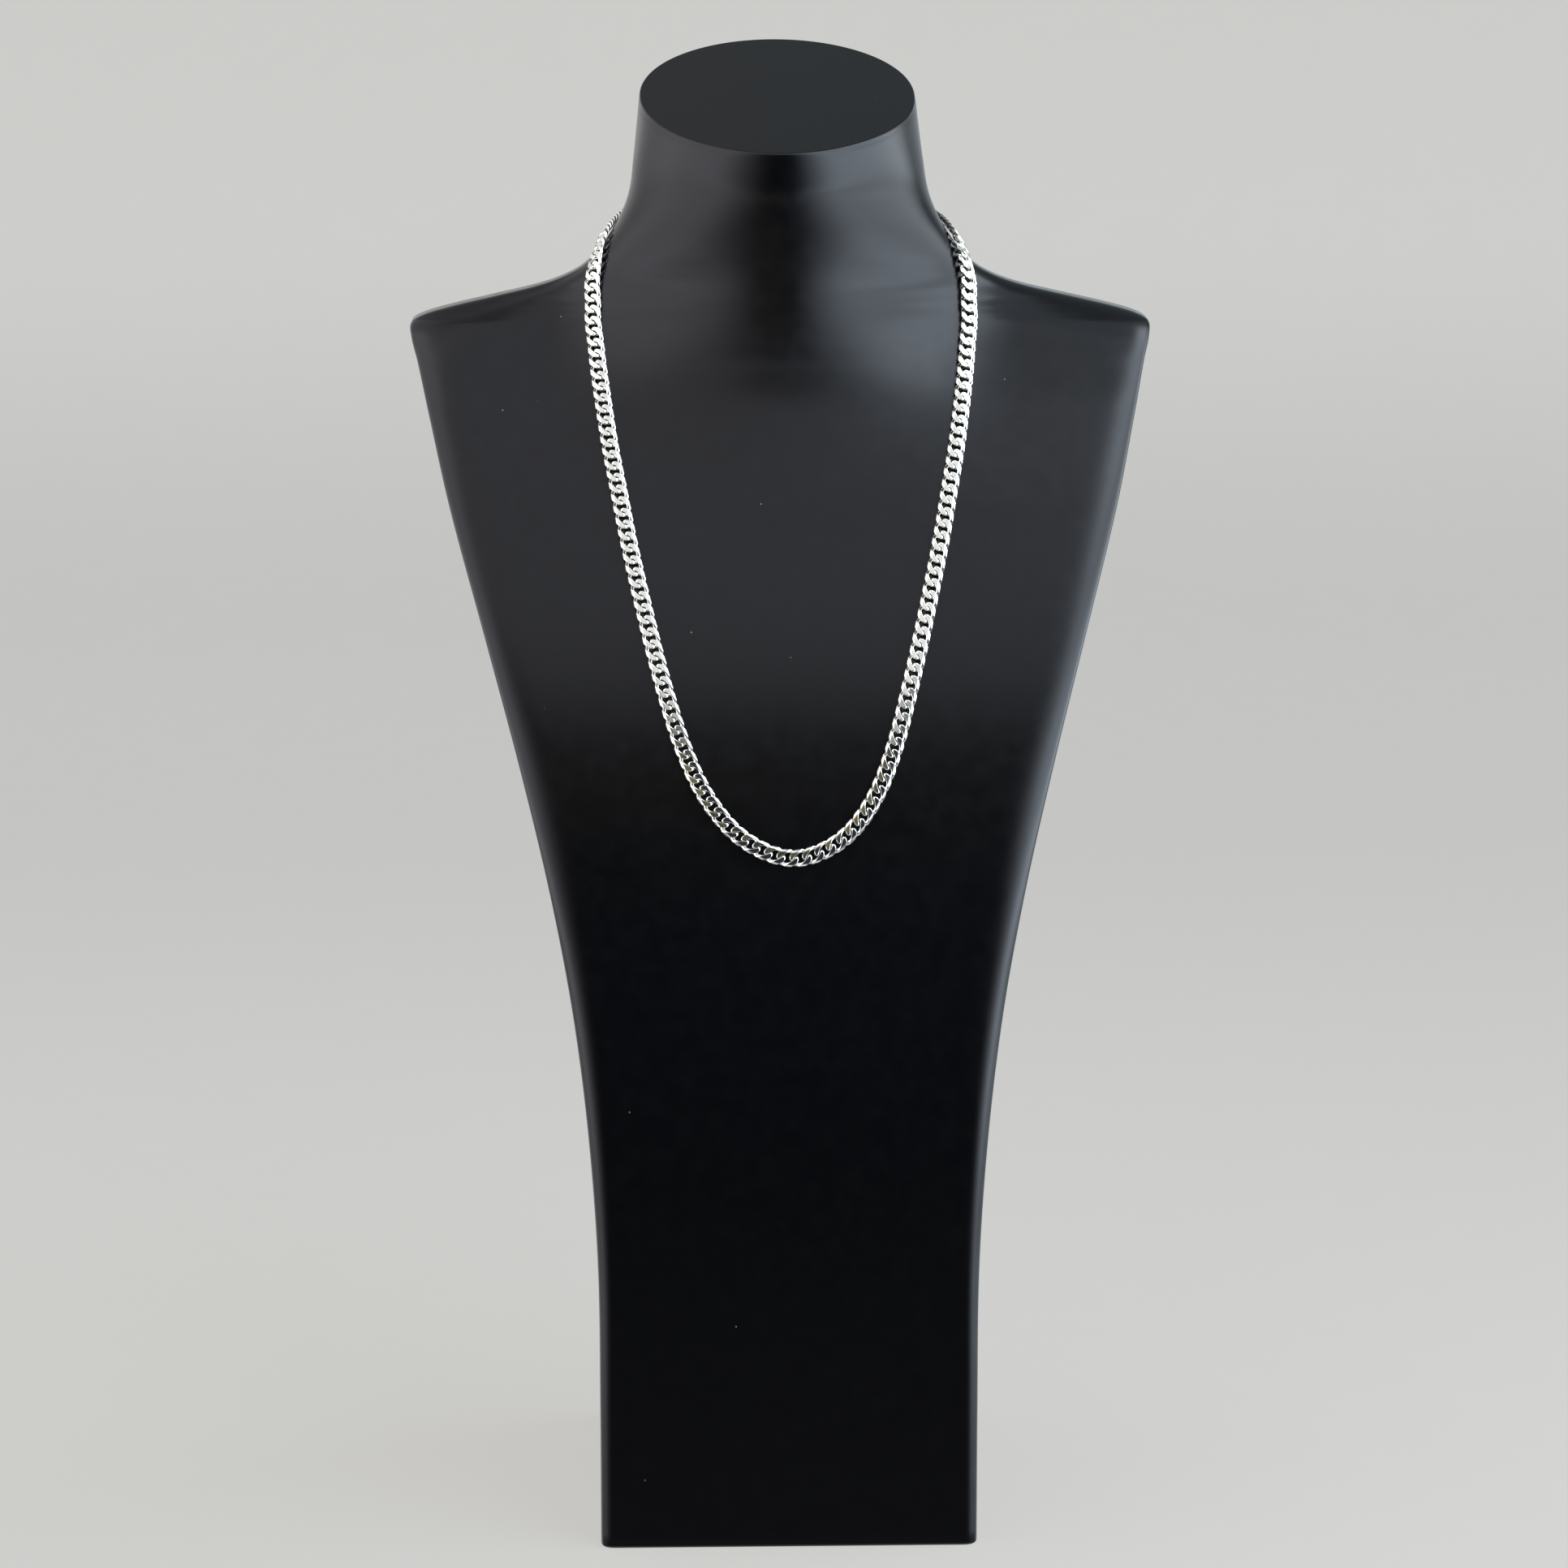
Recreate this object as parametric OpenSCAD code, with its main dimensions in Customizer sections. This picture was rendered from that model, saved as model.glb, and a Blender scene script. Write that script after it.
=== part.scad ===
// Flat bevelled curb chain, worn on a tall neck bust display.
// The bust stands on z = 0 with its face towards -Y, and the middle of its footprint box is the
// origin. The chain lies on the bust as one closed loop, fastened behind the neck.

/* [Bust] */
// Size of the small bevel round the foot
foot_edge = 1.2; // [0.4:0.1:3]
// Size of the small bevel round the slanted top face
top_edge = 0.8; // [0.2:0.1:2]

/* [Chain] */
// Width of the chain over both rails
chain_w = 6; // [4.5:0.1:6.5]
// Thickness of the chain from flat to flat
chain_t = 2.4; // [1.6:0.1:2.8]
// Width of the ground flat on the chain's face
flat_w = 4.8; // [3.4:0.1:5.2]
// Width of the open holes between the two rails
hole_w = 2.4; // [1.6:0.1:2.8]
// Part of each link's pitch that the hole takes
hole_share = 0.4; // [0.2:0.05:0.6]
// How far each crossbar slants, as a part of the pitch
bar_slant = 0.3; // [0:0.05:0.4]
// Links on each side, from the lowest point round to the clasp
links_per_side = 82; // [70:1:90]
// How far the lowest point hangs to the right of the bust's middle
hang_shift = 2; // [0:0.1:4]
// Air left between the chain and the bust
clearance = 0.45; // [0.3:0.05:0.8]
// Air left between neighbouring pieces of chain
piece_gap = 0.3; // [0.2:0.05:0.6]

/* [Clasp] */
// Length of the clasp with its end ring
clasp_l = 14; // [12:0.5:18]
// Width of the clasp's body
clasp_w = 6; // [4.5:0.5:8]

/* [Hidden] */

// Level sections of the bust, from the foot up. Each row holds its height, the half width, then how
// far behind the foot's front edge lie the front, the front rim, the back rim and the back, then
// the part of the half width that a front corner takes, the exponent of the back's curve, the
// slant of the section in degrees, and how far the neck's root brings the middle of the front
// forward.
sections = [
    [0, 65.0, 0.0, 6.0, 124.0, 144.0, 0.09, 6.0, 0, 0],
    [46, 65.0, 1.5, 7.7, 124.0, 144.0, 0.09, 6.0, 0, 0],
    [98, 65.4, 3.5, 9.8, 124.0, 144.4, 0.10, 6.0, 0, 0],
    [144, 68.3, 6.2, 12.3, 124.0, 145.4, 0.12, 6.0, 0, 0],
    [186, 73.3, 10.6, 16.5, 123.0, 147.5, 0.15, 5.6, 0, 0],
    [227, 80.9, 17.1, 22.9, 122.0, 150.6, 0.18, 5.0, 0, 0],
    [268, 90.9, 28.3, 34.0, 121.0, 155.7, 0.20, 4.2, 0, 0],
    [309, 102.5, 45.2, 50.8, 122.0, 163.0, 0.18, 3.4, 0, 0],
    [351, 115.0, 68.1, 73.7, 125.0, 173.5, 0.15, 2.6, 0, 0],
    [382, 122.9, 85.2, 93.9, 128.0, 184.5, 0.12, 2.0, 0, 3.4],
    [398, 127.0, 91.5, 107.0, 130.0, 193.0, 0.13, 1.7, 0, 9.5],
    [406, 129.5, 94.2, 115.6, 131.0, 198.5, 0.22, 1.5, 0, 13.2],
    [410.5, 129.5, 95.6, 121.5, 132.0, 202.0, 0.40, 1.4, 0, 15.3],
    [413, 124.7, 96.3, 124.5, 132.5, 204.0, 0.56, 1.35, 0, 16.4],
    [415.5, 115.3, 97.0, 126.5, 134.0, 206.0, 0.70, 1.3, 0, 17],
    [418.5, 101.5, 97.8, 128.0, 135.5, 208.0, 0.82, 1.3, 0, 17],
    [422, 86.2, 98.8, 129.5, 136.0, 210.0, 0.90, 1.3, 0, 15.3],
    [425, 77.0, 99.6, 130.5, 136.0, 211.5, 0.94, 1.4, 0, 12.3],
    [429, 69.4, 100.7, 131.5, 136.0, 213.0, 0.97, 1.6, 0, 7.6],
    [435, 63.3, 102.3, 133.0, 137.0, 215.0, 1.0, 1.9, 0, 2.4],
    [443.5, 57.4, 104.4, 135.5, 138.5, 217.2, 1.0, 2.0, 0, 0],
    [454, 53.3, 106.1, 142.0, 144.0, 218.8, 1.0, 2.0, 2, 0],
    [468, 51.5, 107.5, 152.0, 154.0, 221.0, 1.0, 2.0, 9.0, 0],
    [487.9, 49.3, 108.0, 164.5, 166.5, 222.6, 1.0, 2.0, 16.0, 0]
];
last_section = len(sections) - 1;
depth = sections[last_section][5];
// The neck's root swells the front this far to each side at most
root_w = 84;
// How suddenly that limit takes over from the half width as a section widens
root_blend = 8;
// The slant of a section turns it about the line this far behind the foot's front edge
slant_y = 171;
// Round the bust the position runs as an angle: the front curve ends here on each side, the flat
// side takes the few degrees up to its mirror image past 90, and the back curve takes the rest
rim_angle = 88;
// Points on the front curve and on the back curve of each ring, and rings between two sections
points_per_curve = 25;
rings_per_section = 2;

// Half of the chain's route, from its lowest point up over the shoulder and round to the middle of
// the nape. Each row holds the rough distance from the lowest point, the height, the position round
// the bust in degrees, and how far the chain is banked away from the bust's surface in degrees.
route = [
    [0, 239.0, 0, 0],
    [19, 245.5, 11.3, 0],
    [37, 259.0, 18.4, 0],
    [56, 275.5, 22.3, 0],
    [75, 292.0, 24.4, 0],
    [94, 308.5, 25.9, 0],
    [112, 324.5, 27.0, 0],
    [131, 340.5, 27.9, 0],
    [149, 356.0, 28.5, 0],
    [168, 371.5, 29.2, 0],
    [187, 386.5, 29.5, 0],
    [202, 399.0, 29.6, 1],
    [214, 408.5, 29.5, 3],
    [222, 414.0, 31.9, 4],
    [231, 419.0, 40.4, 5],
    [241, 425.0, 56.8, 6],
    [252, 431.3, 71.0, 5],
    [263, 436.7, 82.5, 3],
    [275, 439.7, 94.5, 1],
    [284, 441.2, 103.0, 0],
    [294, 442.5, 111.5, 0],
    [314, 444.2, 128.5, 0],
    [335, 445.2, 146.0, 0],
    [355, 445.5, 163.0, 0],
    [375, 445.5, 180, 0]
];
last_row = len(route) - 1;
route_end = route[last_row][0];
// The sideways shift at the lowest point has faded to a third this far along the chain
shift_fade = 50;
route_steps = 400;

function unit(v) = v / norm(v);

// Smooth curve through the rows of a table whose first column is the parameter: a cubic between
// two rows, with each row's slope taken from its neighbours
function slopes(table) = [for (i = [0:len(table) - 1])
    let (below = max(i - 1, 0), above = min(i + 1, len(table) - 1))
    (table[above] - table[below]) / (table[above][0] - table[below][0])];

function row_below(table, x) = max([for (i = [0:len(table) - 2]) if (i == 0 || table[i][0] <= x) i]);

function smooth_row(table, slope, x) =
    let (i = row_below(table, x), h = table[i + 1][0] - table[i][0], t = (x - table[i][0]) / h)
    (2 * t ^ 3 - 3 * t ^ 2 + 1) * table[i] + (t ^ 3 - 2 * t ^ 2 + t) * h * slope[i]
    + (3 * t ^ 2 - 2 * t ^ 3) * table[i + 1] + (t ^ 3 - t ^ 2) * h * slope[i + 1];

section_slopes = slopes(sections);
function section_at(z) = smooth_row(sections, section_slopes, z);

// The front of a section is flat with the swelling of the neck's root and superelliptical corners,
// which are squarer the less of the front they take. The back is one superellipse
function front_y(s, x) =
    let (
        u = min(max((x / s[1] - 1 + s[6]) / s[6], 0), 1),
        power = 3.5 - 1.5 * s[6],
        reach = s[1] * root_w / (s[1] ^ root_blend + root_w ^ root_blend) ^ (1 / root_blend),
        root = s[9] * (1 - cos(180 * min(x / reach, 1))) / 2
    )
    s[2] + root + (s[3] - s[2] - s[9]) * (1 - (1 - u ^ power) ^ (1 / power));

function back_y(s, x) = s[4] + (s[5] - s[4]) * max(1 - (x / s[1]) ^ s[7], 0) ^ (1 / s[7]);

// Point on the bust's surface at a position round it and a height
function bust_point(around, z) =
    let (
        s = section_at(z),
        a = abs(around) > 180 ? 360 - abs(around) : abs(around),
        side = abs(around) > 180 ? -sign(around) : sign(around),
        x = a < rim_angle ? s[1] * sin(a * 90 / rim_angle)
            : a > 180 - rim_angle ? s[1] * sin((180 - a) * 90 / rim_angle) : s[1],
        y = a < rim_angle ? front_y(s, x)
            : a > 180 - rim_angle ? back_y(s, x)
            : s[3] + (s[4] - s[3]) * (a - rim_angle) / (180 - 2 * rim_angle)
    )
    [side * x, y, z + tan(s[8]) * (y - slant_y)];

function bust_normal(around, z, e = 0.05) = unit(cross(
    bust_point(around + e, z) - bust_point(around - e, z),
    bust_point(around, z + e) - bust_point(around, z - e)));

// A ring of the bust, drawn in towards its middle by the inset
ring_angles = concat(
    [for (k = [0:points_per_curve - 1]) rim_angle * (2 * k / (points_per_curve - 1) - 1)],
    [for (k = [0:points_per_curve - 1]) 180 - rim_angle * (1 - 2 * k / (points_per_curve - 1))]);

function bust_ring(z, inset = 0, drop = 0) =
    let (s = section_at(z), middle = (s[2] + s[5]) / 2, half_depth = (s[5] - s[2]) / 2)
    [for (a = ring_angles)
        let (p = bust_point(a, z), y = middle + (p.y - middle) * (1 - inset / half_depth))
        [p.x * (1 - inset / s[1]), y, z - drop + tan(s[8]) * (y - slant_y)]];

module neck_bust() {
    steps = last_section * rings_per_section;
    rings = concat(
        [bust_ring(0, foot_edge)],
        [bust_ring(0, 0, -foot_edge)],
        [for (i = [1:steps - 1])
            let (k = floor(i / rings_per_section), t = i / rings_per_section - k)
            bust_ring(sections[k][0] * (1 - t) + sections[min(k + 1, last_section)][0] * t)],
        [bust_ring(sections[last_section][0], 0, top_edge)],
        [bust_ring(sections[last_section][0], top_edge)]);
    n = len(ring_angles);
    color("#16181b") translate([0, -depth / 2, 0]) polyhedron(
        points = [for (ring = rings) each ring],
        faces = concat(
            [[for (k = [0:n - 1]) k]],
            [for (i = [0:len(rings) - 2], k = [0:n - 1])
                [i * n + k, (i + 1) * n + k, (i + 1) * n + (k + 1) % n, i * n + (k + 1) % n]],
            [[for (k = [n - 1:-1:0]) (len(rings) - 1) * n + k]]));
}

// The route goes on past both ends as its own mirror image, so it is smooth there too
route_rows = concat(
    [[-route[1][0], route[1][1], -route[1][2], route[1][3]]],
    route,
    [[2 * route_end - route[last_row - 1][0], route[last_row - 1][1], 360 - route[last_row - 1][2],
        route[last_row - 1][3]]]);
route_slopes = slopes(route_rows);
function route_at(u) = smooth_row(route_rows, route_slopes, u);

// The chain's middle line is held off the surface by half its thickness, and by more where it is
// banked and stands on one edge
function lifted_point(u) =
    let (row = route_at(u), lift = clearance + chain_t / 2 * cos(row[3]) + chain_w / 2 * sin(row[3]))
    bust_point(row[2], row[1]) + lift * bust_normal(row[2], row[1]);

// Stiff links cut the corners a little, so the line and its normal are averaged over a short span
span = [-5, -2.5, 0, 2.5, 5];
function mean(v, i = 0) = i == len(v) - 1 ? v[i] / len(v) : v[i] / len(v) + mean(v, i + 1);
function chain_middle(u) = mean([for (d = span) lifted_point(u + d)]);
function chain_normal(u) = unit(mean([for (d = span)
    let (row = route_at(u + d)) bust_normal(row[2], row[1])]));

// Length along the chain against the route's own parameter
route_points = [for (i = [0:route_steps]) chain_middle(route_end * i / route_steps)];
function running_sum(v, i = 0, sum = 0, out = []) =
    i == len(v) ? out : running_sum(v, i + 1, sum + v[i], concat(out, [sum + v[i]]));
route_lengths = concat([0], running_sum(
    [for (i = [1:route_steps]) norm(route_points[i] - route_points[i - 1])]));
length_table = [for (i = [0:route_steps]) [route_lengths[i], route_end * i / route_steps]];
half_length = route_lengths[route_steps];
pitch = (half_length - clasp_l / 2 - piece_gap) / (links_per_side + bar_slant);

// Frame of the chain at a length from its lowest point, positive to the right: its middle, the
// direction across it and the direction out of its face
function chain_frame(s, e = 0.2) =
    let (
        u = min(lookup(abs(s), length_table), route_end),
        side = s < 0 ? -1 : 1,
        row = route_at(u),
        along = unit(chain_middle(u + e) - chain_middle(u - e)),
        across = unit(cross(chain_normal(u), along)),
        out = unit(cross(along, across)) * cos(row[3]) - across * sin(row[3]),
        leaning = cross(out, along),
        shift = hang_shift * exp(-(s / shift_fade) ^ 2)
    )
    [mirrored(chain_middle(u), side) + [shift, 0, 0], mirrored(leaning, side), mirrored(out, side)];

function mirrored(v, side) = [side * v.x, v.y, v.z];

// Outline of one rail: how far out it lies across the chain, and its height above the middle
function rail(outer) = [
    [hole_w / 2, -chain_t / 2], [outer, -chain_t / 2], [outer, chain_t / 4],
    [flat_w / 2, chain_t / 2], [hole_w / 2, chain_t / 2]];

// Both rails at a length along the chain. The two rails are slid apart along it, so that the
// crossbars slant
function rails_at(s, outer) =
    let (slide = bar_slant * pitch, upper = chain_frame(s + slide), lower = chain_frame(s - slide))
    concat([for (p = rail(outer)) upper[0] + p[0] * upper[1] + p[1] * upper[2]],
        [for (p = rail(outer)) lower[0] - p[0] * lower[1] + p[1] * lower[2]]);

// Stretch of joined links as one closed ladder: each pitch is a crossbar, narrow at both ends and
// widest in its middle, and then a hole
module links(first, last) {
    bar = 1 - hole_share;
    notch = chain_w / 2 - 0.3;
    sides = [for (i = [first:last - 1]) each [
        rails_at(i * pitch, notch),
        rails_at((i + bar / 2) * pitch, chain_w / 2),
        rails_at((i + bar) * pitch, notch)]];
    rows = concat(sides, [rails_at(last * pitch - piece_gap, notch)]);
    m = 5;
    n = 2 * m;
    open = [for (i = [0:len(rows) - 2]) i % 3 == 2];
    color("silver") translate([0, -depth / 2, 0]) polyhedron(
        points = [for (row = rows) each row],
        faces = concat(
            [for (i = [0:len(rows) - 2], k = [0:m - 2]) each [
                [i * n + k, (i + 1) * n + k, (i + 1) * n + k + 1, i * n + k + 1],
                [i * n + m + k, i * n + m + k + 1, (i + 1) * n + m + k + 1, (i + 1) * n + m + k]]],
            [for (i = [0:len(rows) - 2]) each open[i]
                ? [[i * n, i * n + m - 1, (i + 1) * n + m - 1, (i + 1) * n],
                    [i * n + m, (i + 1) * n + m, (i + 1) * n + n - 1, i * n + n - 1]]
                : [[i * n, i * n + m, (i + 1) * n + m, (i + 1) * n],
                    [i * n + m - 1, (i + 1) * n + m - 1, (i + 1) * n + n - 1, i * n + n - 1]]],
            [for (i = [1:len(rows) - 2]) if (open[i])
                [i * n, i * n + m, i * n + n - 1, i * n + m - 1]],
            [for (i = [1:len(rows) - 2]) if (open[i - 1])
                [i * n, i * n + m - 1, i * n + n - 1, i * n + m]],
            [[0, m - 1, n - 1, m]],
            [[for (k = [0:m - 1]) k]],
            [[for (k = [m - 1:-1:0]) m + k]],
            [[for (k = [m - 1:-1:0]) (len(rows) - 1) * n + k]],
            [[for (k = [0:m - 1]) (len(rows) - 1) * n + m + k]]));
}

// Links on each side that lie in front of the neck's flank; the rest lie round the nape
front_links = 62;

module chain_left() links(-front_links, 0);
module chain_right() links(0, front_links);
module chain_nape_left() links(-links_per_side, -front_links);
module chain_nape_right() links(front_links, links_per_side);

// Flat drop-shaped clasp with a round window and an end ring
module clasp() {
    nape = chain_frame(half_length);
    body_r = clasp_w / 2;
    end_r = 1.6;
    ring_r = 1.5;
    body_x = -clasp_l / 2 + body_r;
    ring_x = clasp_l / 2 - ring_r;
    end_x = ring_x - ring_r - 0.6;
    // Keeps the flat back of the clasp clear of the round nape
    nape_r = section_at(route[last_row][1])[1];
    bow = (clasp_l / 2) ^ 2 / (2 * nape_r);
    color("silver") translate([0, -depth / 2, 0])
        translate(nape[0] + bow * nape[2])
        rotate([-90 + asin(nape[2].z), 0, 0])
        difference() {
            union() {
                disc(body_x, body_r);
                linear_extrude(chain_t, center = true)
                    polygon([[body_x, body_r], [end_x, end_r], [end_x, -end_r], [body_x, -body_r]]);
                disc(end_x, end_r);
                disc(ring_x, ring_r);
            }
            disc(body_x, body_r / 2, 2 * chain_t);
            disc(ring_x, ring_r / 2, 2 * chain_t);
        }
}

module disc(x, r, height = chain_t) {
    translate([x, 0, 0]) cylinder(h = height, r = r, center = true, $fn = 64);
}

neck_bust();
chain_left();
chain_right();
chain_nape_left();
chain_nape_right();
clasp();
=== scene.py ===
import math

import bpy
import numpy as np
from mathutils import Matrix, Vector


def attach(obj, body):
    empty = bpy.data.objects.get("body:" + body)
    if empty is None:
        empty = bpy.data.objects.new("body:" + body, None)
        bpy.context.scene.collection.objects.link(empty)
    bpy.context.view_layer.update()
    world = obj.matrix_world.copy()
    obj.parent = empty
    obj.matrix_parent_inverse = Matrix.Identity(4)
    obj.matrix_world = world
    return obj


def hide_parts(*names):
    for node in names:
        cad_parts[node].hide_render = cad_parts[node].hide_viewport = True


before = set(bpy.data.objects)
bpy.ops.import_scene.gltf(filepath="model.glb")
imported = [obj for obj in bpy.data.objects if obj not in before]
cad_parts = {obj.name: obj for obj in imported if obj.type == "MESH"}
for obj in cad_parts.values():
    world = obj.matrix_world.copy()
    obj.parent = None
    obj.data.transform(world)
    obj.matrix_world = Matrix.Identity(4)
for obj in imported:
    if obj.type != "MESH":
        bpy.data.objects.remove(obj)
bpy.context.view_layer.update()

# A flat bevelled curb chain on a tall neck bust display. The bust and the chain's path are worked
# out in millimetres from the same sections and route as the CAD part, then turned to metres.

mm = 0.001

# Camera and framing

camera = dict(
    target=(-1.3, -88.6, 264.5),  # the point the photo's middle shows, mm
    distance=1650.0,
    azimuth=-1.5,
    elevation=12.0,
    lens=111.96,
    sensor=36.0,
    clip=(0.05, 60.0),  # nearest and furthest that is seen, m
)


def makeCamera(c):
    azimuth, elevation = math.radians(c["azimuth"]), math.radians(c["elevation"])
    forward = Vector((-math.sin(azimuth) * math.cos(elevation),
                      math.cos(azimuth) * math.cos(elevation), -math.sin(elevation)))
    right = Vector((math.cos(azimuth), math.sin(azimuth), 0))
    up = right.cross(forward)
    data = bpy.data.cameras.new("photoCamera")
    data.lens = c["lens"]
    data.sensor_width = c["sensor"]
    data.clip_start, data.clip_end = c["clip"]
    eye = bpy.data.objects.new("photoCamera", data)
    bpy.context.collection.objects.link(eye)
    turn = Matrix((right, up, -forward)).transposed().to_4x4()
    place = (Vector(c["target"]) - forward * c["distance"]) * mm
    eye.matrix_world = Matrix.Translation(place) @ turn
    bpy.context.scene.camera = eye


makeCamera(camera)
print("camera placed")

# Curves through tables


def unit(v):
    return v / np.linalg.norm(v, axis=-1, keepdims=True)


def rowSlopes(table):
    # Slope of each row against the first column: next row minus the one before, over their distance
    n = np.arange(len(table))
    below, above = table[np.maximum(n - 1, 0)], table[np.minimum(n + 1, len(table) - 1)]
    return (above - below) / (above[:, :1] - below[:, :1])


def smoothRows(table, x):
    # Cubic Hermite between the two rows round x, whose first column is the parameter
    slopes = rowSlopes(table)
    i = np.clip(np.searchsorted(table[:, 0], x, side="right") - 1, 0, len(table) - 2)
    h = (table[i + 1, 0] - table[i, 0])[..., None]
    t = (x - table[i, 0])[..., None] / h
    return ((2 * t**3 - 3 * t**2 + 1) * table[i] + (t**3 - 2 * t**2 + t) * h * slopes[i]
            + (3 * t**2 - 2 * t**3) * table[i + 1] + (t**3 - t**2) * h * slopes[i + 1])


# Neck bust

bust = dict(
    # height, half width, front, front rim, back rim, back, part of the half width that a front
    # corner takes, exponent of the back's curve, slant in degrees, swelling of the neck's root
    sections=np.array([
        [0, 65.0, 0.0, 6.0, 124.0, 144.0, 0.09, 6.0, 0, 0],
        [46, 65.0, 1.5, 7.7, 124.0, 144.0, 0.09, 6.0, 0, 0],
        [98, 65.4, 3.5, 9.8, 124.0, 144.4, 0.10, 6.0, 0, 0],
        [144, 68.3, 6.2, 12.3, 124.0, 145.4, 0.12, 6.0, 0, 0],
        [186, 73.3, 10.6, 16.5, 123.0, 147.5, 0.15, 5.6, 0, 0],
        [227, 80.9, 17.1, 22.9, 122.0, 150.6, 0.18, 5.0, 0, 0],
        [268, 90.9, 28.3, 34.0, 121.0, 155.7, 0.20, 4.2, 0, 0],
        [309, 102.5, 45.2, 50.8, 122.0, 163.0, 0.18, 3.4, 0, 0],
        [351, 115.0, 68.1, 73.7, 125.0, 173.5, 0.15, 2.6, 0, 0],
        [382, 122.9, 85.2, 93.9, 128.0, 184.5, 0.12, 2.0, 0, 3.4],
        [398, 127.0, 91.5, 107.0, 130.0, 193.0, 0.13, 1.7, 0, 9.5],
        [406, 129.5, 94.2, 115.6, 131.0, 198.5, 0.22, 1.5, 0, 13.2],
        [410.5, 129.5, 95.6, 121.5, 132.0, 202.0, 0.40, 1.4, 0, 15.3],
        [413, 124.7, 96.3, 124.5, 132.5, 204.0, 0.56, 1.35, 0, 16.4],
        [415.5, 115.3, 97.0, 126.5, 134.0, 206.0, 0.70, 1.3, 0, 17],
        [418.5, 101.5, 97.8, 128.0, 135.5, 208.0, 0.82, 1.3, 0, 17],
        [422, 86.2, 98.8, 129.5, 136.0, 210.0, 0.90, 1.3, 0, 15.3],
        [425, 77.0, 99.6, 130.5, 136.0, 211.5, 0.94, 1.4, 0, 12.3],
        [429, 69.4, 100.7, 131.5, 136.0, 213.0, 0.97, 1.6, 0, 7.6],
        [435, 63.3, 102.3, 133.0, 137.0, 215.0, 1.0, 1.9, 0, 2.4],
        [443.5, 57.4, 104.4, 135.5, 138.5, 217.2, 1.0, 2.0, 0, 0],
        [454, 53.3, 106.1, 142.0, 144.0, 218.8, 1.0, 2.0, 2, 0],
        [468, 51.5, 107.5, 152.0, 154.0, 221.0, 1.0, 2.0, 9.0, 0],
        [487.9, 49.3, 108.0, 164.5, 166.5, 222.6, 1.0, 2.0, 16.0, 0],
    ]),
    cornerPower=3.5,  # exponent of a front corner that takes none of the front
    cornerLoss=1.5,  # how much lower it is where the corners take all of it
    rootWidth=84.0,  # half width that the swelling reaches where the bust is wider
    rootBlend=8,  # how sharply it changes from the bust's width to that
    slantY=171.0,  # the line that the slanted sections turn on
    rimAngle=88.0,  # degrees of the way round that the front takes on each side
    footEdge=1.2,
    topEdge=0.8,
    edgeSteps=6,
    anglesPerSide=150,
    ringsPerSection=9,
)
bustDepth = bust["sections"][-1, 5]


def bustPoint(around, z):
    # Position round the bust in degrees, 0 at the front, and height. The front is flat, with
    # superelliptical corners that are squarer the less of it they take, and the neck's root swells
    # its middle forward by a cosine; the side is a short flat, and the back is a superellipse
    around, z = np.broadcast_arrays(np.asarray(around, float), np.asarray(z, float))
    row = smoothRows(bust["sections"], z)
    w, front, frontRim, backRim, back, share, power, slant, swell = np.moveaxis(row, -1, 0)[1:]
    rim = bust["rimAngle"]
    past = np.abs(around) > 180
    a = np.where(past, 360 - np.abs(around), np.abs(around))
    side = np.where(past, -np.sign(around), np.sign(around))
    x = np.where(a < rim, w * np.sin(np.radians(a * 90 / rim)),
                 np.where(a > 180 - rim, w * np.sin(np.radians((180 - a) * 90 / rim)), w))
    u = np.clip((x / w - 1 + share) / share, 0, 1)
    rootWidth, blend = bust["rootWidth"], bust["rootBlend"]
    reach = w * rootWidth / (w**blend + rootWidth**blend)**(1 / blend)
    root = swell * (1 - np.cos(np.pi * np.minimum(x / reach, 1))) / 2
    square = bust["cornerPower"] - bust["cornerLoss"] * share
    frontY = front + root + (frontRim - front - swell) * (1 - (1 - u**square)**(1 / square))
    backY = backRim + (back - backRim) * (1 - np.clip(x / w, 0, 1)**power)**(1 / power)
    y = np.where(a < rim, frontY, np.where(a > 180 - rim, backY,
                 frontRim + (backRim - frontRim) * (a - rim) / (180 - 2 * rim)))
    return np.stack([side * x, y, z + np.tan(np.radians(slant)) * (y - bust["slantY"])], -1)


def bustNormal(around, z, step=0.05):
    return unit(np.cross(bustPoint(around + step, z) - bustPoint(around - step, z),
                         bustPoint(around, z + step) - bustPoint(around, z - step)))


# Chain path

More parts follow.
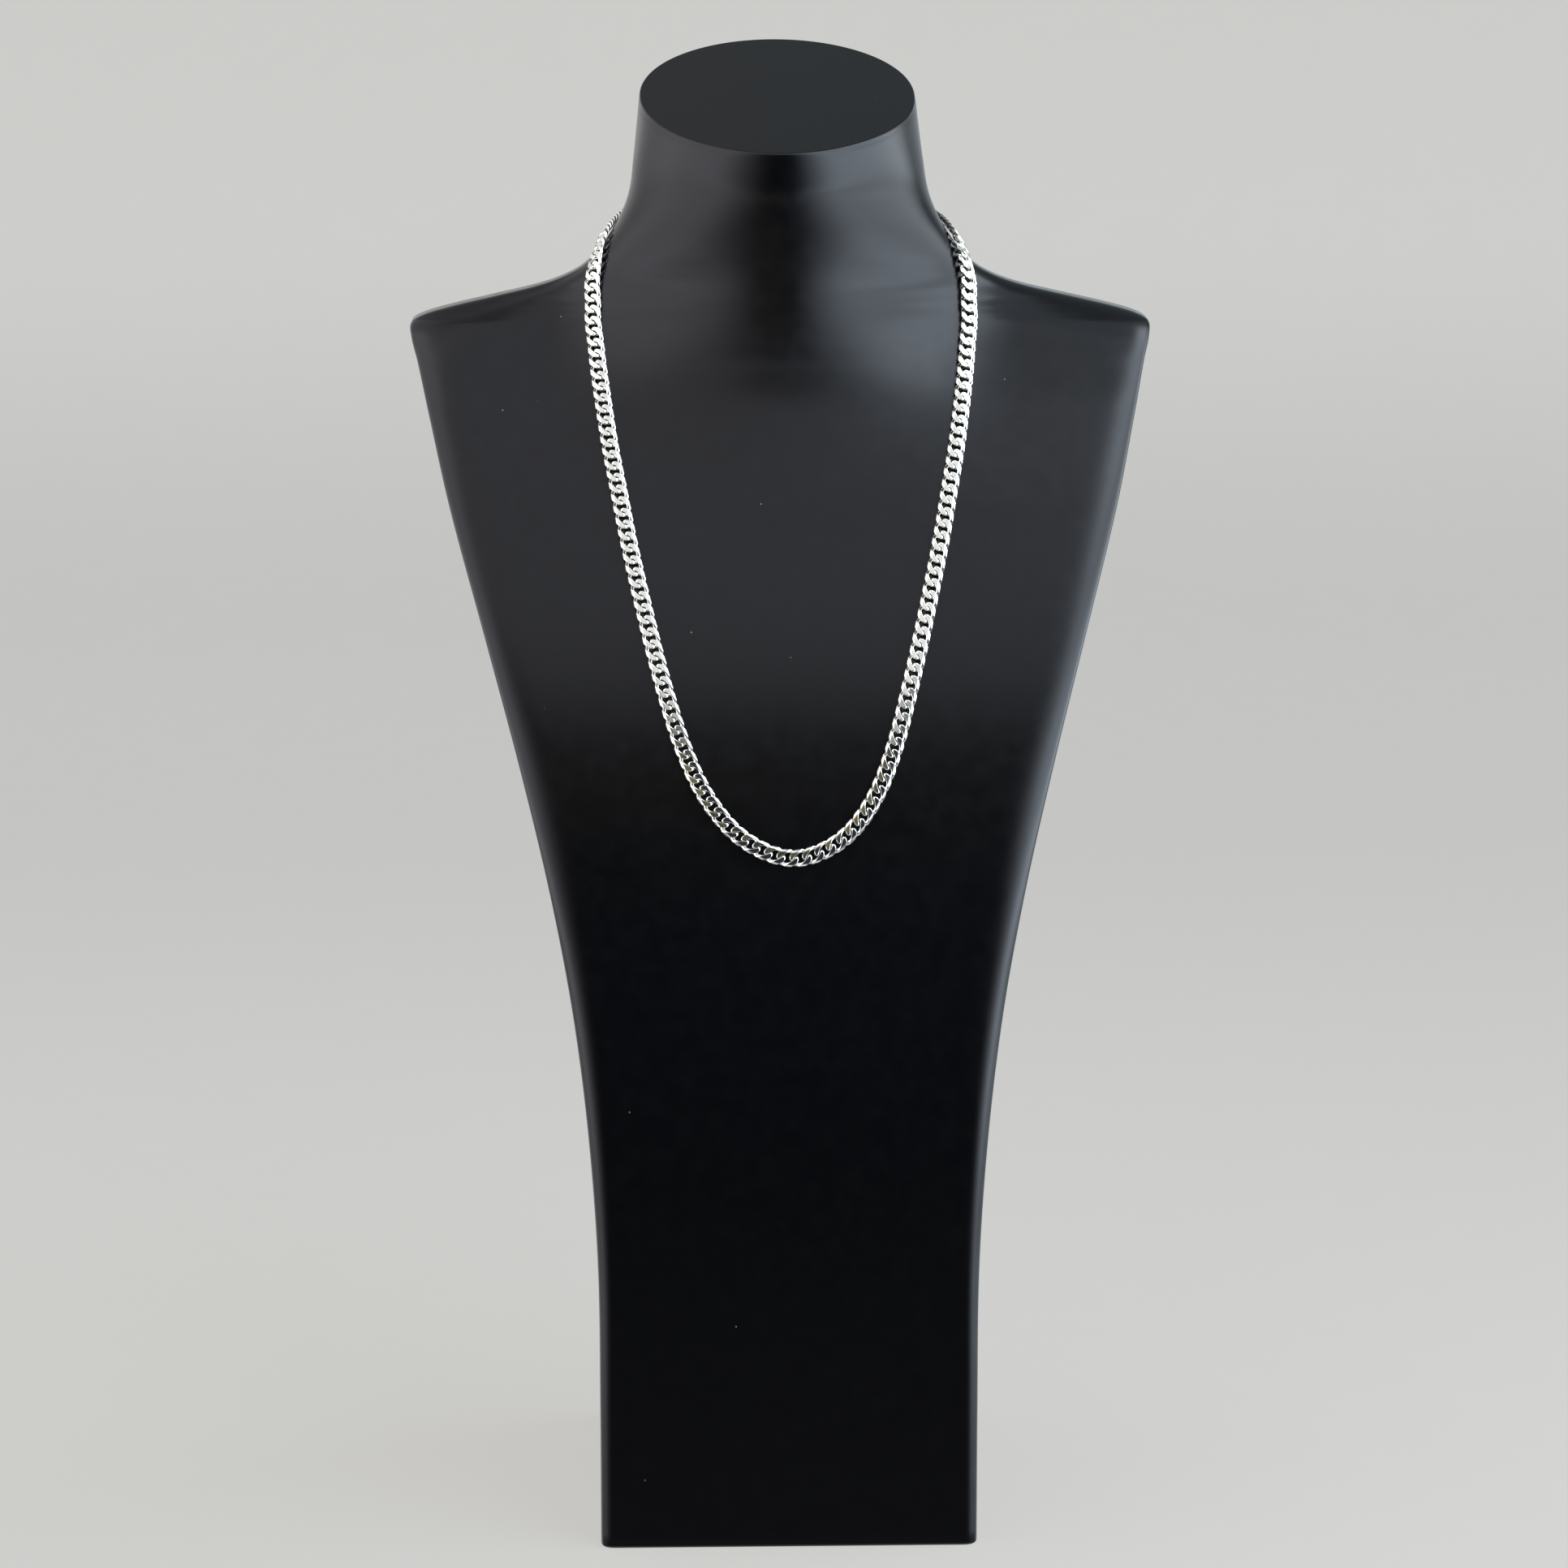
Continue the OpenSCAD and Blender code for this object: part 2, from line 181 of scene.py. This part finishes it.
chain = dict(
    # rough distance from the lowest point, height, position round the bust, bank; degrees
    route=np.array([
        [0, 239.0, 0, 0],
        [19, 245.5, 11.3, 0],
        [37, 259.0, 18.4, 0],
        [56, 275.5, 22.3, 0],
        [75, 292.0, 24.4, 0],
        [94, 308.5, 25.9, 0],
        [112, 324.5, 27.0, 0],
        [131, 340.5, 27.9, 0],
        [149, 356.0, 28.5, 0],
        [168, 371.5, 29.2, 0],
        [187, 386.5, 29.5, 0],
        [202, 399.0, 29.6, 1],
        [214, 408.5, 29.5, 3],
        [222, 414.0, 31.9, 4],
        [231, 419.0, 40.4, 5],
        [241, 425.0, 56.8, 6],
        [252, 431.3, 71.0, 5],
        [263, 436.7, 82.5, 3],
        [275, 439.7, 94.5, 1],
        [284, 441.2, 103.0, 0],
        [294, 442.5, 111.5, 0],
        [314, 444.2, 128.5, 0],
        [335, 445.2, 146.0, 0],
        [355, 445.5, 163.0, 0],
        [375, 445.5, 180, 0],
    ]),
    width=6.0,
    thick=2.4,
    clearance=0.45,
    span=(-5, -2.5, 0, 2.5, 5),  # a stiff chain's path is the mean of these places along it
    samples=1201,
    hangShift=2.0,  # how far to the right the lowest link hangs
    shiftFade=50.0,
    linksPerSide=82,
    frontLinks=62,
    barSlant=0.3,  # how far each crossbar of the CAD chain slants, as a part of the pitch
    pieceGap=0.3,
    claspLength=14.0,
)


def mirroredRoute():
    route = chain["route"]
    first, last = route[1] * [-1, 1, -1, 1], route[-2] * [-1, 1, -1, 1]
    last = last + [2 * route[-1, 0], 0, 360, 0]
    return np.vstack([first, route, last])


routeRows = mirroredRoute()


def liftedPoint(u):
    # Surface point plus half the thickness, and more where the chain is banked on one edge
    row = smoothRows(routeRows, u)
    bank = np.radians(row[..., 3])
    lift = (chain["clearance"] + chain["thick"] / 2 * np.cos(bank)
            + chain["width"] / 2 * np.sin(bank))
    return (bustPoint(row[..., 2], row[..., 1])
            + lift[..., None] * bustNormal(row[..., 2], row[..., 1]))


def chainMiddle(u):
    return sum(liftedPoint(u + d) for d in chain["span"]) / len(chain["span"])


def chainNormal(u):
    rows = [smoothRows(routeRows, u + d) for d in chain["span"]]
    return unit(sum(bustNormal(r[..., 2], r[..., 1]) for r in rows))


routeSteps = np.linspace(0, chain["route"][-1, 0], chain["samples"])
routeLength = np.concatenate([[0], np.cumsum(np.linalg.norm(
    np.diff(chainMiddle(routeSteps), axis=0), axis=1))])
halfLength = routeLength[-1]
pitch = ((halfLength - chain["claspLength"] / 2 - chain["pieceGap"])
         / (chain["linksPerSide"] + chain["barSlant"]))


def chainFrame(s, step=0.2):
    # Middle, along, across and out of the face at a length s from the lowest point, right positive
    s = np.asarray(s, float)
    u = np.interp(np.abs(s), routeLength, routeSteps)
    side = np.where(s < 0, -1.0, 1.0)[..., None]
    bank = np.radians(smoothRows(routeRows, u)[..., 3])[..., None]
    along = unit(chainMiddle(u + step) - chainMiddle(u - step))
    across = unit(np.cross(chainNormal(u), along))
    out = unit(np.cross(along, across)) * np.cos(bank) - across * np.sin(bank)
    leaning = np.cross(out, along)
    flip = np.concatenate([side, np.ones_like(side), np.ones_like(side)], -1)
    shift = chain["hangShift"] * np.exp(-(s / chain["shiftFade"])**2)
    middle = chainMiddle(u) * flip + shift[..., None] * np.array([1.0, 0, 0])
    return middle, along * flip * side, leaning * flip, out * flip


print("chain loop %.1f mm, pitch %.3f mm" % (2 * halfLength, pitch))

# Meshes from grids


def gridMesh(name, grids, closeU, closeV, caps=()):
    # grids is (pieces, rows, columns, 3) in mm; quads join neighbours, and wrap where closed
    pieces, rows, columns, _ = grids.shape
    ids = np.arange(pieces * rows * columns).reshape(pieces, rows, columns)
    nextRow = np.roll(ids, -1, axis=1) if closeU else ids[:, 1:]
    lastRow = ids if closeU else ids[:, :-1]

    def stepped(a):
        return (a, np.roll(a, -1, axis=2)) if closeV else (a[:, :, :-1], a[:, :, 1:])

    a, b = stepped(lastRow)
    d, c = stepped(nextRow)
    quads = np.stack([a, b, c, d], -1).reshape(-1, 4)
    points = grids.reshape(-1, 3) + [0, -bustDepth / 2, 0]
    faces = quads.tolist() + [list(cap) for cap in caps]
    mesh = bpy.data.meshes.new(name)
    mesh.from_pydata((points * mm).tolist(), [], faces)
    mesh.validate()
    mesh.polygons.foreach_set("use_smooth", np.ones(len(mesh.polygons), bool))
    mesh.update()
    piece = bpy.data.objects.new(name, mesh)
    bpy.context.collection.objects.link(piece)
    return piece


def makeBust(b):
    # Rings of the bust from the foot up; a quarter round joins the last ring to the flat faces
    side = b["anglesPerSide"]
    half = np.concatenate([b["rimAngle"] * (2 * np.arange(side) / (side - 1) - 1),
                           180 - b["rimAngle"] * (1 - 2 * np.arange(side) / (side - 1))])
    tops = b["sections"][:, 0]
    heights = np.concatenate([np.linspace(lo, hi, b["ringsPerSection"], endpoint=False)
                              for lo, hi in zip(tops[:-1], tops[1:])])
    heights = heights[heights > b["footEdge"]]
    heights = heights[heights < tops[-1] - b["topEdge"]]
    turn = np.linspace(0, 90, b["edgeSteps"] + 1)

    def edgeRing(z, inset, drop):
        row = smoothRows(b["sections"], np.array(z))
        p = bustPoint(half, np.full_like(half, z))
        middle, halfDepth = (row[2] + row[5]) / 2, (row[5] - row[2]) / 2
        y = middle + (p[:, 1] - middle) * (1 - inset / halfDepth)
        x = p[:, 0] * (1 - inset / row[1])
        return np.stack([x, y, z - drop + math.tan(math.radians(row[8])) * (y - b["slantY"])], -1)

    foot = [edgeRing(0, b["footEdge"] * (1 - math.sin(math.radians(t))),
                     -b["footEdge"] * (1 - math.cos(math.radians(t)))) for t in turn]
    top = [edgeRing(tops[-1], b["topEdge"] * (1 - math.cos(math.radians(t))),
                    b["topEdge"] * (1 - math.sin(math.radians(t)))) for t in turn]
    body = bustPoint(half[None, :], heights[:, None])
    rings = np.concatenate([np.array(foot), body, np.array(top)])
    count = rings.shape[0] * rings.shape[1]
    under = np.arange(len(half))[::-1]
    over = np.arange(len(half)) + count - len(half)
    piece = gridMesh("bustShell", rings[None], False, True, (under, over))
    for cap in piece.data.polygons[-2:]:
        cap.use_smooth = False
    return piece


bustShell = makeBust(bust)
print("bust made,", len(bustShell.data.polygons), "faces")

# Links

link = dict(
    length=3.12,  # half of the link's long way, to the wire's middle
    width=2.6,  # half of the short way
    wire=0.77,  # half the wire's width at the link's two ends
    sideWire=1.07,  # the same along its two sides
    wireHeight=0.91,  # half the wire's thickness
    twist=52.0,  # turn of each end, degrees
    flat=0.95,  # half thickness where both faces are ground flat
    crown=0.035,  # fall of the faces from the middle to both sides
    bevelSlope=0.85,  # fall of the bevelled long edges
    bevelStart=2.3,  # how far across the bevel begins
    edge=3.0,  # half width where the edges are ground
    steps=48,  # round the link
    sides=24,  # round the wire
    loose=0.6,  # how far single links turn at random, degrees
)


def twistedLink(k):
    # A ring of wire that is broader along the sides, turned about its long axis in proportion to
    # the way along it, then ground flat on both faces and bevelled along both edges
    t = np.linspace(0, 2 * np.pi, k["steps"], endpoint=False)[:, None]
    c = np.linspace(0, 2 * np.pi, k["sides"], endpoint=False)[None, :]
    x0, y0 = k["length"] * np.cos(t), k["width"] * np.sin(t)
    tx, ty = -k["length"] * np.sin(t), k["width"] * np.cos(t)
    size = np.hypot(tx, ty)
    wire = k["wire"] + (k["sideWire"] - k["wire"]) * np.sin(t)**2
    x = x0 + wire * np.cos(c) * ty / size
    y = y0 - wire * np.cos(c) * tx / size
    z = k["wireHeight"] * np.sin(c) + 0 * t
    turn = -np.radians(k["twist"]) * x / k["length"]
    y, z = y * np.cos(turn) - z * np.sin(turn), y * np.sin(turn) + z * np.cos(turn)
    face = k["flat"] - k["crown"] * np.abs(y)
    z = np.clip(z, -face, face)
    slope = k["bevelSlope"]
    over = slope * (np.abs(y) - k["bevelStart"]) + np.abs(z) - face
    over = np.maximum(over, 0) / (1 + slope**2)
    y, z = y - np.sign(y) * over * slope, z - np.sign(z) * over
    y = np.clip(y, -k["edge"], k["edge"])
    return np.stack([x, y, z], -1)


def makeLinks(name, first, last, seed):
    # One copy of the link in each place's own frame, all as one array
    middles = (np.arange(first, last) + 0.5) * pitch
    middle, along, across, out = chainFrame(middles)
    shape = twistedLink(link)
    random = np.random.default_rng(seed)
    tilt = np.radians(random.normal(0, link["loose"], (len(middles), 3)))
    along = unit(along + tilt[:, :1] * out + tilt[:, 1:2] * across)
    out = unit(out - np.sum(out * along, -1, keepdims=True) * along + tilt[:, 2:] * across)
    out = unit(out - np.sum(out * along, -1, keepdims=True) * along)
    across = np.cross(out, along)
    grids = (middle[:, None, None] + shape[None, ..., :1] * along[:, None, None]
             + shape[None, ..., 1:2] * across[:, None, None]
             + shape[None, ..., 2:] * out[:, None, None])
    # The wire's sides run so that the grid's faces look inwards
    piece = gridMesh(name, grids, True, True)
    piece.data.flip_normals()
    return piece


linksLeft = makeLinks("linksLeft", -chain["frontLinks"], 0, 3)
linksRight = makeLinks("linksRight", 0, chain["frontLinks"], 4)
linksNapeLeft = makeLinks("linksNapeLeft", -chain["linksPerSide"], -chain["frontLinks"], 5)
linksNapeRight = makeLinks("linksNapeRight", chain["frontLinks"], chain["linksPerSide"], 6)
print("links made,", len(linksLeft.data.polygons) // chain["frontLinks"], "faces each")

# Clasp

claspEdges = dict(
    merge=0.01,  # points closer than this are one, mm
    radius=0.35,
    segments=3,
    angle=40,  # edges sharper than this are rounded, degrees
)


def makeClasp(k):
    # The CAD clasp with its edges rounded over
    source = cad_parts["clasp"]
    piece = bpy.data.objects.new("claspBody", source.data.copy())
    bpy.context.collection.objects.link(piece)
    merge = piece.modifiers.new("merge", "WELD")
    merge.merge_threshold = k["merge"] * mm
    rounding = piece.modifiers.new("edges", "BEVEL")
    rounding.width = k["radius"] * mm
    rounding.segments = k["segments"]
    rounding.limit_method = "ANGLE"
    rounding.angle_limit = math.radians(k["angle"])
    return piece


claspBody = makeClasp(claspEdges)
print("clasp made")

# Materials


def linear(hexColour):
    # sRGB hex to linear RGBA
    values = [int(hexColour[i:i + 2], 16) / 255 for i in (1, 3, 5)]
    return [v / 12.92 if v <= 0.04045 else ((v + 0.055) / 1.055)**2.4 for v in values] + [1.0]


def addNode(tree, kind, settings=(), links=()):
    # settings are (name, value) for the node or its input; links are (input, socket), or a
    # value in place of the socket
    node = tree.nodes.new(kind)
    for name, value in settings:
        if name in node.inputs:
            node.inputs[name].default_value = value
        else:
            setattr(node, name, value)
    for name, source in links:
        if isinstance(source, bpy.types.NodeSocket):
            tree.links.new(source, node.inputs[name])
        else:
            node.inputs[name].default_value = source
    return node


def newMaterial(name):
    material = bpy.data.materials.new(name)
    material.use_nodes = True
    tree = material.node_tree
    tree.nodes.clear()
    output = addNode(tree, "ShaderNodeOutputMaterial")
    shader = addNode(tree, "ShaderNodeBsdfPrincipled")
    tree.links.new(shader.outputs["BSDF"], output.inputs["Surface"])
    place = addNode(tree, "ShaderNodeTexCoord").outputs["Object"]
    return material, tree, shader, place


noiseSpan = (0.3, 0.7)  # the noise node's output seldom leaves this
lacquer = dict(
    base="#030304",
    dust="#9a9896",
    sheen="#f6f6ff",  # tint of what it mirrors
    peelSize=6.0,  # of the orange peel, mm
    peelDetail=2.0,
    grainSize=0.5,
    grainDetail=3.0,
    dustSpacing=16.0,
    dustSize=(0.022, 0.014),  # edge and core of a speck, as a part of the spacing
    dustCover=0.35,
    gloss=(0.2, 0.24),  # roughness where the peel is low and high
    grainStrength=0.06,
    grainDepth=0.02,
    ior=1.46,
)


def makeSatinLacquer(k):
    # Sprayed two-pack lacquer on cast resin, black and satin: soft-edged reflections, faint orange
    # peel, and a little pale dust that has settled
    material, tree, shader, place = newMaterial("satinBlackLacquer")
    peel = addNode(tree, "ShaderNodeTexNoise", [("Scale", 1 / (k["peelSize"] * mm)),
                                                 ("Detail", k["peelDetail"])], [("Vector", place)])
    grain = addNode(tree, "ShaderNodeTexNoise", [("Scale", 1 / (k["grainSize"] * mm)),
                                                  ("Detail", k["grainDetail"])], [("Vector", place)])
    dustCells = addNode(tree, "ShaderNodeTexVoronoi", [("Scale", 1 / (k["dustSpacing"] * mm)),
                                                        ("Randomness", 1.0)], [("Vector", place)])
    dust = addNode(tree, "ShaderNodeMapRange",
                   [("From Min", k["dustSize"][0]), ("From Max", k["dustSize"][1]),
                    ("To Min", 0.0), ("To Max", k["dustCover"])],
                   [("Value", dustCells.outputs["Distance"])])
    colour = addNode(tree, "ShaderNodeMix",
                     [("data_type", "RGBA"), ("A", linear(k["base"])), ("B", linear(k["dust"]))],
                     [("Factor", dust.outputs["Result"])])
    gloss = addNode(tree, "ShaderNodeMapRange",
                    [("From Min", noiseSpan[0]), ("From Max", noiseSpan[1]),
                     ("To Min", k["gloss"][0]), ("To Max", k["gloss"][1])],
                    [("Value", peel.outputs["Fac"])])
    bump = addNode(tree, "ShaderNodeBump", [("Strength", k["grainStrength"]),
                                            ("Distance", k["grainDepth"] * mm)],
                   [("Height", grain.outputs["Fac"])])
    tree.links.new(colour.outputs["Result"], shader.inputs["Base Color"])
    tree.links.new(gloss.outputs["Result"], shader.inputs["Roughness"])
    tree.links.new(bump.outputs["Normal"], shader.inputs["Normal"])
    shader.inputs["IOR"].default_value = k["ior"]
    shader.inputs["Specular Tint"].default_value = linear(k["sheen"])
    return material


silver = dict(
    grey="#f5f4ef",
    white="#fdfbf7",
    lineSize=0.6,  # of the buffing lines, drawn coarse enough to show, mm
    lineDetail=4.0,
    gloss=(0.05, 0.11),
    lineStrength=0.05,
    lineDepth=0.01,
)


def makePolishedSilver(k):
    # Solid silver, diamond-ground and buffed: near-white mirror flats with the finest lines left
    # by the buffing wheel, and a trace of grey between them
    material, tree, shader, place = newMaterial("polishedSilver")
    lines = addNode(tree, "ShaderNodeTexNoise", [("Scale", 1 / (k["lineSize"] * mm)),
                                                  ("Detail", k["lineDetail"])], [("Vector", place)])
    gloss = addNode(tree, "ShaderNodeMapRange",
                    [("From Min", noiseSpan[0]), ("From Max", noiseSpan[1]),
                     ("To Min", k["gloss"][0]), ("To Max", k["gloss"][1])],
                    [("Value", lines.outputs["Fac"])])
    tone = addNode(tree, "ShaderNodeMix",
                   [("data_type", "RGBA"), ("A", linear(k["grey"])), ("B", linear(k["white"]))],
                   [("Factor", lines.outputs["Fac"])])
    bump = addNode(tree, "ShaderNodeBump", [("Strength", k["lineStrength"]),
                                            ("Distance", k["lineDepth"] * mm)],
                   [("Height", lines.outputs["Fac"])])
    tree.links.new(tone.outputs["Result"], shader.inputs["Base Color"])
    tree.links.new(gloss.outputs["Result"], shader.inputs["Roughness"])
    tree.links.new(bump.outputs["Normal"], shader.inputs["Normal"])
    shader.inputs["Metallic"].default_value = 1.0
    return material


satinBlackLacquer = makeSatinLacquer(lacquer)
polishedSilver = makePolishedSilver(silver)

finishes = (
    (bustShell, "neck_bust", "black_lacquer", satinBlackLacquer),
    (linksLeft, "chain_left", "polished_silver", polishedSilver),
    (linksRight, "chain_right", "polished_silver", polishedSilver),
    (linksNapeLeft, "chain_nape_left", "polished_silver", polishedSilver),
    (linksNapeRight, "chain_nape_right", "polished_silver", polishedSilver),
    (claspBody, "clasp", "polished_silver", polishedSilver),
)
for piece, node, slotName, material in finishes:
    piece.data.materials.clear()
    piece.data.materials.append(material)
    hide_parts(node)
    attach(piece, "root")
print("materials on")

# Studio

studio = dict(
    # lengths in metres
    paper="#474645",
    fibre="#4b4a49",
    fibres=40.0,  # patches of fibres to the metre
    fibreDetail=4.0,
    roughness=0.9,
    glow="#bcbbb8",  # light that comes through the paper from behind
    dimmer=0.17,  # painted shade: how much of the glow is taken off on the floor's far part
    dimFrom=0.0,
    dimTo=1.1,
    clearHeight=0.265,  # height at which little of that painted shade is left
    clearRest=0.1,
    pool=(0.5, -0.45, 0.0),  # centre of a painted pool of light, where the floor is a little brighter
    poolCore=0.1,
    poolEdge=0.9,
    poolLevel=1.12,
    floorFront=-3.0,
    sweepBack=1.5,
    sweepRadius=0.6,
    sweepTop=3.0,
    sweepHalf=3.0,
    turnSteps=24,
    floorSteps=8,
    wallSteps=4,
    acrossSteps=9,
)


def makeSweep(s):
    # Paper on the floor that turns up in a quarter round behind the bust
    turn = np.linspace(0, np.pi / 2, s["turnSteps"])
    ground = np.stack([np.linspace(s["floorFront"], s["sweepBack"], s["floorSteps"]),
                       np.zeros(s["floorSteps"])], -1)
    curve = np.stack([s["sweepBack"] + s["sweepRadius"] * np.sin(turn),
                      s["sweepRadius"] * (1 - np.cos(turn))], -1)
    wall = np.stack([np.full(s["wallSteps"], s["sweepBack"] + s["sweepRadius"]),
                     np.linspace(s["sweepRadius"], s["sweepTop"], s["wallSteps"])], -1)
    line = np.concatenate([ground, curve[1:], wall[1:]])
    across = np.linspace(-s["sweepHalf"], s["sweepHalf"], s["acrossSteps"])
    grid = np.stack(np.broadcast_arrays(across[None, :], line[:, :1], line[:, 1:]), -1)
    paper = gridMesh("paperSweep", grid[None] / mm + [0, bustDepth / 2, 0], False, False)
    material, tree, shader, place = newMaterial("backlitPaper")
    fibres = addNode(tree, "ShaderNodeTexNoise", [("Scale", s["fibres"]),
                                                   ("Detail", s["fibreDetail"])], [("Vector", place)])
    tone = addNode(tree, "ShaderNodeMix",
                   [("data_type", "RGBA"), ("A", linear(s["paper"])), ("B", linear(s["fibre"]))],
                   [("Factor", fibres.outputs["Fac"])])
    spot = addNode(tree, "ShaderNodeSeparateXYZ", (), [("Vector", place)])
    # Painted shade: the glow is taken down on the floor's far part, less of it higher up
    far = addNode(tree, "ShaderNodeMapRange",
                  [("interpolation_type", "SMOOTHSTEP"), ("From Min", s["dimFrom"]),
                   ("From Max", s["dimTo"]), ("To Min", 0.0), ("To Max", s["dimmer"])],
                  [("Value", spot.outputs["Y"])])
    low = addNode(tree, "ShaderNodeMapRange",
                  [("interpolation_type", "SMOOTHSTEP"), ("From Min", 0.0),
                   ("From Max", s["clearHeight"]), ("To Min", 1.0), ("To Max", s["clearRest"])],
                  [("Value", spot.outputs["Z"])])
    paintedShadeAmount = addNode(tree, "ShaderNodeMath", [("operation", "MULTIPLY")],
                   [(0, far.outputs["Result"]), (1, low.outputs["Result"])])
    # Painted pool of light: the glow is a little stronger near one point on the floor
    reach = addNode(tree, "ShaderNodeVectorMath", [("operation", "DISTANCE")],
                    [(0, place), (1, s["pool"])])
    near = addNode(tree, "ShaderNodeMapRange",
                   [("interpolation_type", "SMOOTHSTEP"), ("From Min", s["poolCore"]),
                    ("From Max", s["poolEdge"]), ("To Min", s["poolLevel"]), ("To Max", 1.0)],
                   [("Value", reach.outputs["Value"])])
    # The glow's strength, with the painted pool of light and the painted shade
    glowWithPaintedLight = addNode(tree, "ShaderNodeMath", [("operation", "SUBTRACT")],
                   [(0, near.outputs["Result"]), (1, paintedShadeAmount.outputs["Value"])])
    tree.links.new(tone.outputs["Result"], shader.inputs["Base Color"])
    tree.links.new(glowWithPaintedLight.outputs["Value"], shader.inputs["Emission Strength"])
    shader.inputs["Emission Color"].default_value = linear(s["glow"])
    shader.inputs["Roughness"].default_value = s["roughness"]
    paper.data.materials.append(material)
    paper.visible_glossy = False


makeSweep(studio)

# Light

# How bright each direction is, worked out in these steps. A step's first word says what is done
# and the rest what goes in, by name or as a number. An edge runs softly from its first angle to
# its second, in degrees, and from 0 to 1 unless two other levels follow. The azimuth is 0
# towards the camera and positive to the right
tent = dict(
    front=("MULTIPLY", "y", -1.0),
    turn=("ARCTAN2", "x", "front"),
    azimuth=("DEGREES", "turn"),
    away=("ABSOLUTE", "azimuth"),
    rise=("ARCSINE", "z"),
    height=("DEGREES", "rise"),

    # Directions near the zenith lie close together, so the azimuth counts for more there
    growth=("MULTIPLY", "height", 0.015),
    zenith=("ADD", "growth", 0.55),
    narrow=("edge", "height", -2, 22, 0.8, 1.17),
    weight=("MAXIMUM", "zenith", "narrow"),
    spread=("MULTIPLY", "azimuth", "weight"),
    spreadLeft=("MULTIPLY", "spread", -1.0),

    # The tent above the camera, dimmer behind the bust
    ceilingLow=("edge", "height", 27, 39, 0.0, 0.9),
    ceilingRear=("edge", "away", 150, 110, 0.27, 1.0),
    ceiling=("MULTIPLY", "ceilingLow", "ceilingRear"),

    # The wall behind the bust, and the dimmer room above it
    wallSide=("edge", "away", 70, 125, 0.0, 0.75),
    wallTop=("edge", "height", 8, 26, 1.0, 0.27),
    wall=("MULTIPLY", "wallSide", "wallTop"),

    # A broad neutral box on the left
    leftInner=("edge", "spreadLeft", 4, 54, 0.0, 1.9),
    leftOuter=("edge", "azimuth", -172, -150),
    leftRear=("edge", "azimuth", -132, -88, 0.42, 1.0),
    leftLow=("edge", "height", 30, 14, 1.0, 1.15),
    leftTop=("edge", "height", 66, 82, 1.0, 0.0),
    left=("MULTIPLY", "leftInner", "leftOuter", "leftRear", "leftLow", "leftTop"),

    # A stronger cool box on the right, a little dimmer in a band across it
    rightInner=("edge", "spread", 8, 47, 0.0, 4.8),
    rightOuter=("edge", "azimuth", 104, 134, 1.0, 0.0),
    rightLow=("edge", "height", -18, -6, 0.5, 1.0),
    rightTop=("edge", "height", 60, 72, 1.0, 0.0),
    bandLow=("edge", "height", 16, 26, 0.0, -0.25),
    bandTop=("edge", "height", 48, 34),
    band=("MULTIPLY", "bandLow", "bandTop"),
    bandLevel=("ADD", "band", 1.0),
    right=("MULTIPLY", "rightInner", "rightOuter", "rightLow", "rightTop", "bandLevel"),

    boxFoot=("edge", "height", -22, -9, 0.12, 1.0),
    boxBase=("edge", "height", 6, -5, 1.0, 1.35),
    box=("MAXIMUM", "left", "right"),
    boxes=("MULTIPLY", "box", "boxFoot", "boxBase"),

    # The white table top close to the foot, and the floor in front of it
    table=("edge", "height", -36, -50, 0.0, 0.75),
    ground=("edge", "height", -5, -22, 0.0, 0.13),

    # A screen in the room, just left of the camera, that some of the lowest links mirror
    screenLeft=("edge", "azimuth", -12, -9),
    screenRight=("edge", "azimuth", 1, 3, 1.0, 0.0),
    screenLow=("edge", "height", 18, 20),
    screenTop=("edge", "height", 27, 29, 1.0, 0.0),
    screen=("MULTIPLY", "screenLeft", "screenRight", "screenLow", "screenTop"),
    khaki=("MULTIPLY", "screen", 0.15),

    # The last number is the dark room round the camera
    level=("MAXIMUM", "ceiling", "wall", "boxes", "table", "ground", "khaki", 0.04),
    coolSide=("edge", "spread", 0, 30),
    dim=("edge", "level", 0.1, 0.03),
)

# The left side's tint, and those that these steps mix in after it
leftTint = "#f4f4f5"
tints = dict(coolSide="#e6f3f9", dim="#bccdf0", screen="#ffeea2")


def makeStudioLight(steps):
    # A white tent with a dark gap where the camera stands
    world = bpy.data.worlds.new("softTent")
    bpy.context.scene.world = world
    world.use_nodes = True
    tree = world.node_tree
    tree.nodes.clear()
    direction = addNode(tree, "ShaderNodeTexCoord").outputs["Generated"]
    split = addNode(tree, "ShaderNodeSeparateXYZ", (), [("Vector", direction)])
    values = dict(x=split.outputs["X"], y=split.outputs["Y"], z=split.outputs["Z"])
    ends = ("From Min", "From Max", "To Min", "To Max")
    for name, (action, first, *others) in steps.items():
        value = values[first]
        if action == "edge":
            value = addNode(tree, "ShaderNodeMapRange", [("interpolation_type", "SMOOTHSTEP")],
                            [("Value", value), *zip(ends, others)]).outputs["Result"]
        else:
            # One node for each further number, or a single one where none goes in
            for other in others or [0.0]:
                value = addNode(tree, "ShaderNodeMath", [("operation", action)],
                                [(0, value), (1, values.get(other, other))]).outputs["Value"]
        values[name] = value

    colour = linear(leftTint)
    for name, tint in tints.items():
        colour = addNode(tree, "ShaderNodeMix", [("data_type", "RGBA")],
                         [("Factor", values[name]), ("A", colour),
                          ("B", linear(tint))]).outputs["Result"]
    glow = addNode(tree, "ShaderNodeBackground", (),
                   [("Color", colour), ("Strength", values["level"])])
    output = addNode(tree, "ShaderNodeOutputWorld")
    tree.links.new(glow.outputs["Background"], output.inputs["Surface"])


makeStudioLight(tent)
bpy.context.scene.view_settings.view_transform = "Standard"
print("studio lit")
